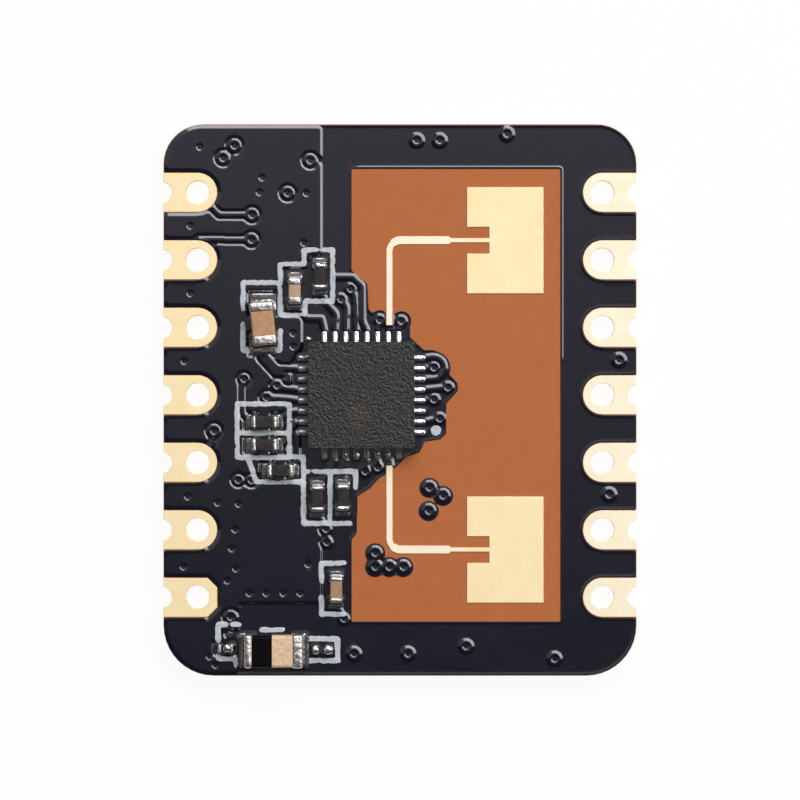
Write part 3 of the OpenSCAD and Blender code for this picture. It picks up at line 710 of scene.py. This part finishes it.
    def plain_blocks(self, plain: np.ndarray, number: np.ndarray) -> list[np.ndarray]:
        """Faces of the plain blocks, with the grid's points along each side that meets finer cells.

        Args:
            plain: which blocks become one face.
            number: the grid points' numbers.

        Returns:
            Arrays of faces, one for each choice of finer sides.
        """
        size = self.block
        padded = np.pad(plain, 1)
        beside = (padded[:-2, 1:-1], padded[1:-1, 2:], padded[2:, 1:-1], padded[1:-1, :-2])
        pattern = sum((~side).astype(int) << k for k, side in enumerate(beside))
        start = number[:-1:size, :-1:size]
        row = number.shape[1]
        corners = np.array([0, size, size + size * row, size * row])
        strides = np.array([1, row, -1, -row])
        found = []
        for choice in range(16):
            held = plain & (pattern == choice)
            steps = [corners[k] + strides[k] * np.arange(size if choice >> k & 1 else 1) for k in range(4)]
            found.append(start[held][:, None] + np.concatenate(steps)[None, :])
        return found

    @staticmethod
    def walls(top: list[np.ndarray], count: int) -> np.ndarray:
        """Walls from every open edge of the upper faces down to the floor.

        Args:
            top: arrays of upper faces.
            count: number of upper points.

        Returns:
            Four-cornered faces.
        """
        sides = [np.stack([group, np.roll(group, -1, axis=1)], axis=-1) for group in top if len(group)]
        pairs = np.concatenate([side.reshape(-1, 2) for side in sides])
        ordered = np.sort(pairs, axis=1)
        _, where, uses = np.unique(ordered, axis=0, return_inverse=True, return_counts=True)
        i, j = pairs[uses[where.reshape(-1)] == 1].T
        return np.stack([j, i, i + count, j + count], axis=1)


@dataclass
class BoardLayers:
    """The laminates and the copper between and below the mask."""

    cut_edges: tuple[str, ...] = ("base_laminate",)
    bare: tuple[str, ...] = ("antenna_laminate",)
    copper: tuple[str, ...] = ("ground_plane", "ground_pour", "signal_traces", "filled_vias")

    def build(self) -> None:
        """Dresses the solids as they are."""
        for nodes, look in (
            (self.cut_edges, Look.CUT_LAMINATE),
            (self.bare, Look.BARE_LAMINATE),
            (self.copper, Look.COPPER),
            # The lands get the solder that is painted darker, as painted shade.
            (("component_lands",), Look.SHADED_SOLDER_PAINTED),
            (("solder_mask_bottom",), Look.SOLDER_MASK),
        ):
            for node in nodes:
                dress(node, look)


@dataclass
class MaskSheet:
    """The upper solder mask as one skin that flows over the copper."""

    plan: PlanMap
    step: float = 0.02 * MM
    tiles: int = 7
    edge_blur: float = 0.03 * MM
    edge_share: float = 0.27
    slope_w: float = 0.1 * MM
    outward: float = 0.028 * MM
    swell: float = 1.2
    dent_depth: float = 0.018 * MM
    dent_w: float = 0.05 * MM
    bead: float = 0.01 * MM
    bead_in: float = 0.01 * MM
    bead_w: float = 0.05 * MM
    rim: float = 0.017 * MM
    rim_in: float = 0.03 * MM
    rim_reach: float = 1.1 * MM
    rim_blend: float = 0.1 * MM
    flooded: float = 0.16 * MM
    flood_end: float = 0.45 * MM
    own: np.ndarray = field(init=False)
    height: np.ndarray = field(init=False)

    def __post_init__(self) -> None:
        """Works out the height of the mask's skin over the whole plan.

        The skin climbs by a little over the copper's thickness in an even slope round the copper's outline;
        each via dents it; a low round bead runs along the mask's own edges, higher along the antenna
        window's far ones. Below the left pads, apart from the first, it floods the gap to the pour.
        """
        laminate_top = top_of("antenna_laminate")
        copper_top = top_of("transmit_antenna")
        skin = top_of("solder_mask_top") - copper_top
        cover = self.plan.cover("ground_pour", "signal_traces", "transmit_antenna", "receive_antenna")
        for node in nodes_with("pad_left_")[1:]:
            low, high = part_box(node)
            start, end = (low.x, low.y - self.flooded), (high.x - self.flood_end, low.y + self.flooded)
            cover = np.maximum(cover, self.plan.rectangle(start, end))
        lift = self.plan.ramp(cover, self.slope_w, self.outward)
        dents = self.plan.ramp(self.plan.cover("filled_vias"), self.dent_w, -self.dent_w / 2)
        self.own = self.plan.cover("solder_mask_top")
        inward = self.plan.inward(self.own, self.bead_w)
        bead = self.bead * np.exp(-(((inward - self.bead_in) / self.bead_w) ** 2))
        rim = self.rim * np.exp(-(((inward - self.rim_in) / self.bead_w) ** 2))
        step_up = self.swell * (copper_top - laminate_top)
        self.height = laminate_top + skin + step_up * lift - self.dent_depth * dents
        self.height += bead + (rim - bead) * self.beside_window()

    def beside_window(self) -> np.ndarray:
        """Where the antenna window's far edges run: beyond the upper patch, above it and to its right."""
        low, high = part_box("transmit_antenna")
        reach = self.rim_reach
        around = self.plan.rectangle((low.x - reach, low.y - reach), (high.x + reach, high.y + reach))
        before = self.plan.rectangle((low.x - 2 * reach, low.y - 2 * reach), (high.x, high.y))
        return self.plan.blur(around * (1 - before), self.rim_blend)

    def build(self) -> None:
        """Builds the skin in strips from left to right."""
        edge = self.plan.blur(self.own, self.edge_blur) - self.edge_share
        sheet = ReliefSheet(self.plan, edge, self.height, top_of("antenna_laminate"), self.step)
        for mesh in sheet.build("solder_mask_skin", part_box("solder_mask_top"), self.tiles):
            piece_from_mesh(mesh, Look.SOLDER_MASK, ["solder_mask_top"])


@dataclass
class LegendPrint:
    """The printed frames and the pin-one dot, lying on the mask's skin."""

    plan: PlanMap
    skin: np.ndarray
    step: float = 0.035 * MM
    thickness: float = 0.014 * MM
    edge_blur: float = 0.03 * MM
    shrink: float = 0.7
    ragged: float = 0.1
    ragged_size: float = 0.05 * MM
    wander: float = 0.07
    wander_size: float = 0.2 * MM
    most_fray: float = 0.3
    crown: tuple[float, float] = (0.4, 0.9)
    seed: int = 11

    def build(self) -> None:
        """Builds the ink as one sheet with slightly ragged, rounded edges."""
        cover = self.plan.cover("silkscreen_marks")
        soft = self.plan.blur(cover, self.edge_blur)
        fray = self.ragged * self.plan.noise(self.seed, self.ragged_size)
        fray += self.wander * self.plan.noise(self.seed + 1, self.wander_size)
        edge = soft - self.shrink + np.clip(fray, -self.most_fray, self.most_fray)
        height = self.skin + self.thickness * smooth_step(*self.crown, soft)
        sheet = ReliefSheet(self.plan, edge, height, top_of("antenna_laminate"), self.step)
        (mesh,) = sheet.build("legend_print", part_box("silkscreen_marks"))
        piece_from_mesh(mesh, Look.INK, ["silkscreen_marks"])


def build_softened(node: str, width: float, look: Look, segments: int = 2) -> None:
    """Copies a CAD node with its corners joined and its edges rounded.

    Args:
        node: name of the CAD node.
        width: width of the rounding, in metres.
        look: the finish.
        segments: faces across the rounding.
    """
    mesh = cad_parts[node].data.copy()
    mesh.name = node + "_dressed"
    work = bmesh.new()
    work.from_mesh(mesh)
    bmesh.ops.remove_doubles(work, verts=work.verts, dist=WELD)
    bmesh.ops.dissolve_limit(work, angle_limit=math.radians(FLAT_DEG), verts=work.verts, edges=work.edges)
    work.to_mesh(mesh)
    work.free()
    piece = piece_from_mesh(mesh, look, [node])
    bevel = piece.modifiers.new("rounding", "BEVEL")
    bevel.width = width
    bevel.segments = segments
    bevel.limit_method = "ANGLE"
    bevel.angle_limit = math.radians(SHARP_DEG)


@dataclass
class GoldWork:
    """The edge pads and the two patch antennas, plated with gold."""

    rounding: float = 0.011 * MM

    def build(self) -> None:
        """Rounds the edges of each gold solid and plates it."""
        for node in nodes_with("pad_left_"):
            build_softened(node, self.rounding, Look.GOLD)
        for node in ("transmit_antenna", "receive_antenna"):
            # The antennas' narrow feed lines get a painted highlight: their gold is painted paler.
            build_softened(node, self.rounding, Look.ANTENNA_GOLD_PAINTED_HIGHLIGHT)
        # The right-hand row's gold is painted paler, as painted light from the lamps on the right.
        for node in nodes_with("pad_right_"):
            build_softened(node, self.rounding, Look.PAINTED_LIT_GOLD)


@dataclass
class RadarChip:
    """The no-lead package: moulded body, leads and heat paddle."""

    rounding: float = 0.035 * MM
    segments: int = 3

    def build(self) -> None:
        """Rounds the moulded body and dresses its metal."""
        build_softened("radar_chip_body", self.rounding, Look.MOULD, self.segments)
        for node in ("radar_chip_leads", "radar_chip_paddle"):
            dress(node, Look.TIN)


def rounded_block(size: np.ndarray, radius: float, steps: int = 4) -> tuple[np.ndarray, np.ndarray]:
    """Box with round edges and corners, about the origin.

    Two angles run over a sphere in four quarters round and two halves up. Each point is the sphere's
    point times the radius, moved out to its octant's corner of the box that is smaller by the radius.

    Args:
        size: the box's full sizes.
        radius: radius of its edges.
        steps: faces along each rounding.

    Returns:
        Points, n by 3, and four-cornered faces.
    """
    turn = np.linspace(0, math.pi / 2, steps + 1)
    around = np.concatenate([turn + q * math.pi / 2 for q in range(4)])
    quarter = np.repeat(np.arange(4), steps + 1)
    rise = np.concatenate([turn - math.pi / 2, turn])
    half_up = np.repeat([-1, 1], steps + 1)
    a, e = np.meshgrid(around, rise)
    sphere = np.stack([np.cos(e) * np.cos(a), np.cos(e) * np.sin(a), np.sin(e)], axis=-1)
    sx = np.where(np.isin(quarter, (0, 3)), 1, -1)
    sy = np.where(quarter < 2, 1, -1)
    signs = np.stack([np.broadcast_to(sign, a.shape) for sign in (sx, sy, half_up[:, None])], axis=-1)
    points = (signs * (np.asarray(size) / 2 - radius) + radius * sphere).reshape(-1, 3)
    rows, columns = a.shape
    number = np.arange(rows * columns).reshape(rows, columns)
    after = np.roll(number, -1, axis=1)
    bands = np.stack([number[:-1], after[:-1], after[1:], number[1:]], axis=-1).reshape(-1, 4)
    first = np.arange(4) * (steps + 1)
    ends = np.stack([number[0, first][::-1], number[-1, first]])
    return points, np.concatenate([bands, ends])


@dataclass
class ChipParts:
    """The ceramic chips with their plated end caps."""

    cap_round: float = 0.1 * MM
    cap_round_share: float = 0.45
    band_left: float = 0.14 * MM
    wetted: dict[str, tuple[float, float]] = field(
        default_factory=lambda: {
            "filter_capacitor_1": (0.09 * MM, 0.09 * MM),
            "bulk_capacitor": (-0.13 * MM, 0.0),
        }
    )
    looks: dict[str, Look] = field(
        default_factory=lambda: {
            "supply_capacitor": Look.SUPPLY_CERAMIC,
            "filter_capacitor_1": Look.FILTER_CERAMIC,
            "filter_capacitor_2": Look.LOWER_FILTER_CERAMIC,
            "bulk_capacitor": Look.BULK_CERAMIC,
            "bypass_chip": Look.DARK_CERAMIC,
            "trim_chip": Look.DARK_CERAMIC,
        }
    )

    def build(self) -> None:
        """Dresses each ceramic body, builds its end caps and prints the bulk capacitor's band."""
        for start, look in self.looks.items():
            for node in nodes_with(start, ends="_body"):
                dress(node, look)
                self.build_caps(node.removesuffix("_body") + "_caps")
        self.build_band("bulk_capacitor_band")

    def build_band(self, node: str) -> None:
        """Copies the printed band and draws it out to the left end cap.

        Args:
            node: name of the band's CAD node.
        """
        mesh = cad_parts[node].data.copy()
        mesh.name = node + "_dressed"
        corners = corners_of(mesh)
        along = corners[:, 0]
        along[along < (along.min() + along.max()) / 2] -= self.band_left
        mesh.vertices.foreach_set("co", corners.ravel())
        piece_from_mesh(mesh, Look.BAND_INK, [node])

    def build_caps(self, node: str) -> None:
        """Builds the two end caps of one chip as rounded blocks on the node's own axes.

        The chip's long axis comes from the spread of the node's corners in plan.

        Args:
            node: name of the end caps' CAD node.
        """
        corners = corners_of(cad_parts[node].data)
        low, high = corners.min(axis=0), corners.max(axis=0)
        centre = (low + high) / 2
        flat = (corners - centre)[:, :2]
        along = np.linalg.eigh(flat.T @ flat)[1][:, 1]
        across = np.array([-along[1], along[0]])
        run = flat @ along
        length, width, tall = np.ptp(run), np.ptp(flat @ across), high[2] - low[2]
        cap_length = run.max() - run[run > 0].min()
        if along[np.argmax(np.abs(along))] < 0:
            along, across = -along, -across
        radius = min(self.cap_round, min(cap_length, width, tall) * self.cap_round_share)
        caps = []
        for end, longer in zip((-1, 1), self.wetted.get(node.removesuffix("_caps"), (0.0, 0.0))):
            size = np.array([cap_length + longer, width, tall])
            points, faces = rounded_block(size, radius)
            offset = end * (length - size[0]) / 2
            plan = centre[:2] + (points[:, 0] + offset)[:, None] * along + points[:, 1, None] * across
            caps.append(np.column_stack([plan, points[:, 2] + centre[2]]))
        made = mesh_from_arrays(node + "_dressed", np.concatenate(caps), [faces, faces + len(points)])
        self.join_corners(made)
        piece_from_mesh(made, Look.TIN, [node])

    @staticmethod
    def join_corners(mesh: Mesh) -> None:
        """Merges the points that meet at the blocks' flats and turns every face outwards."""
        work = bmesh.new()
        work.from_mesh(mesh)
        bmesh.ops.remove_doubles(work, verts=work.verts, dist=WELD)
        bmesh.ops.recalc_face_normals(work, faces=work.faces)
        work.to_mesh(mesh)
        work.free()
        mesh.shade_smooth()


@dataclass
class SolderWork:
    """Solder on the lands: a rounded film that climbs the end caps and the package's leads."""

    plan: PlanMap
    step: float = 0.024 * MM
    film: float = 0.018 * MM
    lead_film: float = 0.036 * MM
    climb_share: float = 0.8
    reach: float = 0.045 * MM
    hollow: float = 6.0
    toe_blur: float = 0.09 * MM
    lead_climb: float = 0.12 * MM
    lead_reach: float = 0.2 * MM
    lead_power: float = 1.3
    lead_taper: float = 0.42
    lead_near: float = 0.02
    under: float = 0.04 * MM
    under_share: float = 0.9
    film_round: float = 0.05 * MM
    edge_blur: float = 0.025 * MM
    edge_share: float = 0.5
    sunk: float = 0.01 * MM

    def build(self) -> None:
        """Builds the solder as two sheets, one for the chip parts and one for the package's leads.

        Each chip part's cover is blurred, doubled, held at one and raised to a power: times its climb, that
        is the whole climb at a wall and falls away as a hollow curve. The package's leads get a longer,
        gentler one that narrows away from the package, and a film, round across each land, is added.
        """
        plan = self.plan
        land_top = top_of("component_lands")
        lands = plan.cover("component_lands")
        parts = np.zeros(plan.shape)
        fillet = np.zeros(plan.shape)
        for node in nodes_with("", ends="_caps"):
            cover = plan.cover(node, node.removesuffix("_caps") + "_body")
            rise = (top_of(node) - land_top) * self.climb_share
            parts = np.maximum(parts, cover)
            climb = rise * np.clip(2 * plan.blur(cover, self.reach), 0, 1) ** self.hollow
            fillet = np.maximum(fillet, climb)
        chip = plan.cover("radar_chip_body")
        parts = np.maximum(parts, chip)
        core = plan.blur(parts, self.under) > self.under_share
        open_land = lands * ~core
        rounded = np.clip(2 * plan.blur(lands, self.film_round) - 1, 0, 1)
        lead = np.clip(2 * plan.blur(chip, self.lead_reach), 0, 1) ** self.lead_power
        by_chip = smooth_step(0.0, self.lead_near, plan.blur(chip, self.lead_reach))
        film = self.film + (self.lead_film - self.film) * by_chip
        height = land_top + film * np.sqrt(rounded) + fillet + self.lead_climb * lead
        toes = plan.blur(lands, self.toe_blur) + by_chip
        edge = np.minimum(plan.blur(open_land, self.edge_blur), toes) - self.edge_share
        edge -= self.lead_taper * by_chip * (1 - lead)
        at_leads = by_chip > 0.5
        for node, there, look in (
            # The chip parts' solder is painted darker, as painted shade; the leads' solder is not.
            ("solder_joints", ~at_leads, Look.SHADED_SOLDER_PAINTED),
            ("radar_chip_solder", at_leads, Look.SOLDER),
        ):
            own_edge = np.where(there, edge, -self.edge_share)
            sheet = ReliefSheet(plan, own_edge, height, land_top - self.sunk, self.step)
            (mesh,) = sheet.build(node + "_dressed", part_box("component_lands"))
            piece_from_mesh(mesh, look, [node])


@dataclass
class SolderLumps:
    """Lumps of solder that stand out: on end caps, by the package's corner and on its lower leads.

    Each lump is its centre and its three radii, in millimetres.
    """

    lumps_mm: tuple[tuple[tuple[float, float, float], tuple[float, float, float]], ...] = (
        ((-3.05, 5.04, 1.4), (0.25, 0.17, 0.16)),
        ((-3.45, 2.3, 1.02), (0.12, 0.09, 0.07)),
        ((-1.61, -2.08, 1.12), (0.095, 0.2, 0.06)),
        ((-2.04, -2.06, 1.1), (0.05, 0.14, 0.05)),
        ((-1.22, -2.0, 1.1), (0.055, 0.09, 0.05)),
        ((-0.82, -2.03, 1.1), (0.055, 0.11, 0.05)),
        ((-0.43, -2.06, 1.1), (0.06, 0.13, 0.05)),
        ((-3.17, -9.39, 1.31), (0.135, 0.17, 0.09)),
        ((-2.7, -9.39, 1.31), (0.165, 0.18, 0.09)),
        ((-6.49, -9.335, 1.31), (0.155, 0.155, 0.09)),
    )
    around: int = 24
    rings: int = 12
    wobble: float = 0.08

    def build(self) -> None:
        """Builds all the lumps as one piece.

        A lump is a sphere over two angles, its radius waving a little with both, stretched to the three
        radii.
        """
        turns = np.arange(self.around) * 2 * math.pi / self.around
        turn, tilt = np.meshgrid(turns, np.linspace(0, math.pi, self.rings + 1)[1:-1])
        wave = 1 + self.wobble * np.sin(3 * turn + 2 * tilt) * np.sin(tilt)
        axes = [np.sin(tilt) * np.cos(turn), np.sin(tilt) * np.sin(turn), np.cos(tilt)]
        skin = wave[..., None] * np.stack(axes, axis=-1)
        ball = np.concatenate([skin.reshape(-1, 3), [[0, 0, 1], [0, 0, -1]]])
        number = np.arange(turn.size).reshape(turn.shape)
        after = np.roll(number, -1, axis=1)
        bands = np.stack([number[:-1], number[1:], after[1:], after[:-1]], axis=-1).reshape(-1, 4)
        top, bottom = np.full(self.around, turn.size), np.full(self.around, turn.size + 1)
        caps = ([top, number[0], after[0]], [bottom, after[-1], number[-1]])
        ends = np.concatenate([np.stack(cap, axis=1) for cap in caps])
        points, quads, triangles = [], [], []
        for k, (centre, radii) in enumerate(self.lumps_mm):
            points.append((np.array(centre) + ball * np.array(radii)) * MM)
            quads.append(bands + k * len(ball))
            triangles.append(ends + k * len(ball))
        groups = [np.concatenate(quads), np.concatenate(triangles)]
        mesh = mesh_from_arrays("solder_lumps", np.concatenate(points), groups)
        piece_from_mesh(mesh, Look.SOLDER, [])


@dataclass
class Studio:
    """Pale floor, soft light from the upper right and a camera straight above the board."""

    photo_width: float = 30.1 * MM
    lens: float = 300.0
    sensor: float = 36.0
    floor_size: float = 1.2
    key_radiance: float = 4.3
    key_distance: float = 0.35
    key_polar_deg: float = 42.0
    key_turns_deg: tuple[float, ...] = (18.0, 56.0, 94.0)
    key_size: tuple[float, float] = (0.155, 0.225)
    panel: float = 0.45
    panel_height: tuple[float, float] = (0.6, 0.85)
    panel_side: tuple[float, float] = (-0.06, 0.09)
    panel_near_share: float = 0.05
    sky_high: float = 0.08
    sky_low: float = 0.03
    sky_towards: tuple[float, float, float] = (0.4, 0.62, 0.675)
    sky_range: tuple[float, float] = (-0.2, 0.9)
    floor_glow: float = 0.94
    floor_colour: str = "#f2f2f2"
    clip: tuple[float, float] = (0.01, 10.0)

    def build(self) -> None:
        """Sets the whole studio."""
        bpy.context.scene.view_settings.view_transform = "Standard"
        self.build_floor()
        self.build_sky()
        for turn in self.key_turns_deg:
            self.add_softbox(f"key_softbox_{turn:.0f}", turn)
        self.add_camera()

    def add_softbox(self, name: str, turn_deg: float) -> None:
        """Adds an area lamp that faces the board; its power is pi times area times radiance.

        Args:
            name: the lamp's name.
            turn_deg: its direction in plan, from +X towards +Y.
        """
        polar, turn = math.radians(self.key_polar_deg), math.radians(turn_deg)
        lamp = bpy.data.lights.new(name, "AREA")
        lamp.shape = "RECTANGLE"
        lamp.size, lamp.size_y = self.key_size
        lamp.energy = math.pi * self.key_size[0] * self.key_size[1] * self.key_radiance
        holder = bpy.data.objects.new(name, lamp)
        holder.location = self.key_distance * Vector(
            (math.sin(polar) * math.cos(turn), math.sin(polar) * math.sin(turn), math.cos(polar))
        )
        holder.rotation_euler = (-holder.location).to_track_quat("-Z", "Y").to_euler()
        bpy.context.scene.collection.objects.link(holder)

    def build_floor(self) -> None:
        """Lays a white floor that glows to the camera and in reflections, and still takes a soft shadow."""
        half = self.floor_size / 2
        corners = np.array([[-half, -half, 0.0], [half, -half, 0.0], [half, half, 0.0], [-half, half, 0.0]])
        mesh = mesh_from_arrays("studio_floor", corners, [np.array([[0, 1, 2, 3]])])
        floor = bpy.data.objects.new("studio_floor", mesh)
        bpy.context.scene.collection.objects.link(floor)
        paper = bpy.data.materials.new("white_paper_floor")
        paper.use_nodes = True
        tree = paper.node_tree
        tree.nodes.clear()
        path = add_node(tree, "ShaderNodeLightPath")
        seen = path.outputs["Is Camera Ray"]
        for ray in ("Is Glossy Ray", "Is Transmission Ray"):
            either = add_node(tree, "ShaderNodeMath", {0: seen, 1: path.outputs[ray]}, operation="MAXIMUM")
            seen = either.outputs[0]
        share = add_node(tree, "ShaderNodeMath", {0: seen, 1: self.floor_glow}, operation="MULTIPLY")
        matt = add_node(tree, "ShaderNodeBsdfDiffuse", {"Color": linear(self.floor_colour)})
        glow = add_node(tree, "ShaderNodeEmission", {"Color": linear("#ffffff"), "Strength": 1.0})
        blend = {0: share.outputs[0], 1: matt.outputs[0], 2: glow.outputs[0]}
        mix = add_node(tree, "ShaderNodeMixShader", blend)
        add_node(tree, "ShaderNodeOutputMaterial", {"Surface": mix.outputs[0]})
        mesh.materials.append(paper)

    def build_sky(self) -> None:
        """Surrounds the board with a dim dome and a soft panel overhead, on the far side."""
        world = bpy.data.worlds.new("soft_studio")
        bpy.context.scene.world = world
        world.use_nodes = True
        tree = world.node_tree
        tree.nodes.clear()
        coords = add_node(tree, "ShaderNodeTexCoord").outputs["Generated"]
        facing = add_node(
            tree, "ShaderNodeVectorMath", {0: coords, 1: self.sky_towards}, operation="DOT_PRODUCT"
        )
        axes = add_node(tree, "ShaderNodeSeparateXYZ", {0: coords})
        bands = (
            (facing.outputs["Value"], *self.sky_range, self.sky_low, self.sky_high),
            (axes.outputs["Y"], *self.panel_side, self.panel_near_share, 1.0),
            (axes.outputs["Z"], *self.panel_height, 0.0, self.panel),
        )
        dome, far, high = (
            add_node(
                tree,
                "ShaderNodeMapRange",
                {"Value": value, "From Min": low, "From Max": top, "To Min": start, "To Max": end},
                interpolation_type="SMOOTHSTEP",
            ).outputs[0]
            for value, low, top, start, end in bands
        )
        level = add_node(tree, "ShaderNodeMath", {0: far, 1: high, 2: dome}, operation="MULTIPLY_ADD")
        light = {"Color": linear("#ffffff"), "Strength": level.outputs[0]}
        back = add_node(tree, "ShaderNodeBackground", light)
        add_node(tree, "ShaderNodeOutputWorld", {"Surface": back.outputs[0]})

    def add_camera(self) -> None:
        """Sets the camera straight above, so far that the photograph's width fits the board's upper face."""
        data = bpy.data.cameras.new("photo_camera")
        data.lens = self.lens
        data.sensor_width = self.sensor
        data.clip_start, data.clip_end = self.clip
        camera = bpy.data.objects.new("photo_camera", data)
        height = top_of("solder_mask_top") + self.photo_width * self.lens / self.sensor
        camera.location = (0.0, 0.0, height)
        bpy.context.scene.collection.objects.link(camera)
        bpy.context.scene.camera = camera


def main() -> None:
    """Builds and dresses the module, piece by piece, then its studio."""
    logging.basicConfig(level=logging.INFO, format="%(name)s: %(message)s")
    plan = PlanMap()
    BoardLayers().build()
    mask = MaskSheet(plan)
    mask.build()
    LegendPrint(plan, mask.height).build()
    GoldWork().build()
    RadarChip().build()
    ChipParts().build()
    SolderWork(plan).build()
    SolderLumps().build()
    Studio().build()


if __name__ == "__main__":
    main()
